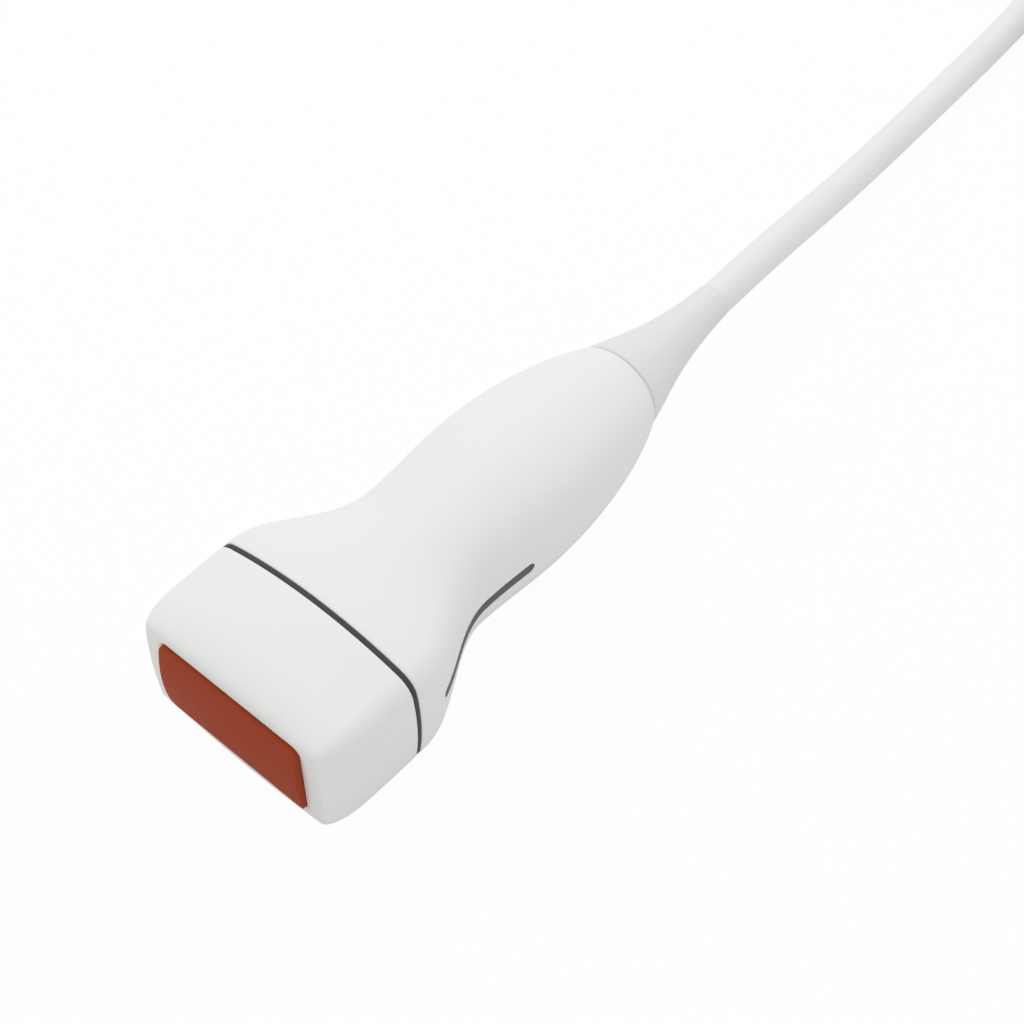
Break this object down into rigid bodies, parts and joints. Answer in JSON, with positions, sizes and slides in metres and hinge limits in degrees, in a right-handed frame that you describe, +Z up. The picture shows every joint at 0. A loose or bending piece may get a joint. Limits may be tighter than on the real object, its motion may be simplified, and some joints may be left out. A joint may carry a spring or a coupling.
{
  "type": "ultrasound transducer probe",
  "caption": "Hand-held phased-array ultrasound probe: boxy head with a red-brown lens, necked oval grip, strain relief, and a jacketed cable put away in a tied hank with a flat plug.",
  "frame": {"origin": "on the surface the probe lies on, under the middle of the probe from its lens to the end of its strain relief", "axes": "+X along the probe from the lens towards the cable, +Z up through the probe's broad faces, -Y is the narrow side with the orientation strip"},
  "size_m": [0.4665, 0.0669, 0.0304],
  "materials": {
    "nose": "satin",
    "handle": "satin",
    "gasket": "matte",
    "strip": "matte",
    "lens": "matte",
    "boot": "matte",
    "cable": "matte",
    "tie": "woven",
    "plug_shell": "satin",
    "plug_boot": "matte",
    "plug_shroud": "brushed",
    "plug_insulator": "matte",
    "contact": "polished",
    "screw": "bright",
    "matching_outer": "matte",
    "matching_inner": "matte",
    "foil": "polished",
    "piezo": "fired ceramic",
    "flex": "film",
    "backing": "cast",
    "frame": "moulded",
    "spreader": "milled",
    "chassis": "die cast",
    "board": "solder resist",
    "chip": "moulded",
    "board_connector": "moulded",
    "shield": "tinned",
    "coax": "bundled",
    "ferrule": "nickel plated",
    "clamp": "machined",
    "seal": "matte",
    "retainer": "turned"
  },
  "bodies": {
    "root": {"nose_shell": "nose", "handle_shell": "handle", "seam_gasket": "gasket", "orientation_strip": "strip", "acoustic_lens": "lens", "strain_relief": "boot", "cable_lead": "cable", "cable_hank": "cable", "cable_tail": "cable", "cable_tie_near": "tie", "cable_tie_far": "tie", "connector_upper_shell": "plug_shell", "connector_lower_shell": "plug_shell", "connector_boot": "plug_boot", "connector_shroud": "plug_shroud", "contact_block": "plug_insulator", "connector_contacts": "contact", "connector_screws": "screw", "connector_board": "board", "matching_layer_outer": "matching_outer", "matching_layer_inner": "matching_inner", "ground_foil": "foil", "transducer_array": "piezo", "flex_circuit": "flex", "backing_block": "backing", "array_frame": "frame", "heat_spreader": "spreader", "spreader_screws": "screw", "chassis": "chassis", "chassis_screws": "screw", "circuit_board_upper": "board", "circuit_board_lower": "board", "board_chips": "chip", "flex_connectors": "board_connector", "coax_connectors": "board_connector", "shield_upper": "shield", "shield_lower": "shield", "coax_bundle": "coax", "shield_ferrule": "ferrule", "cable_clamp_upper": "clamp", "cable_clamp_lower": "clamp", "clamp_screws": "screw", "seal_ring": "seal", "boot_retainer": "retainer"}
  },
  "joints": []
}
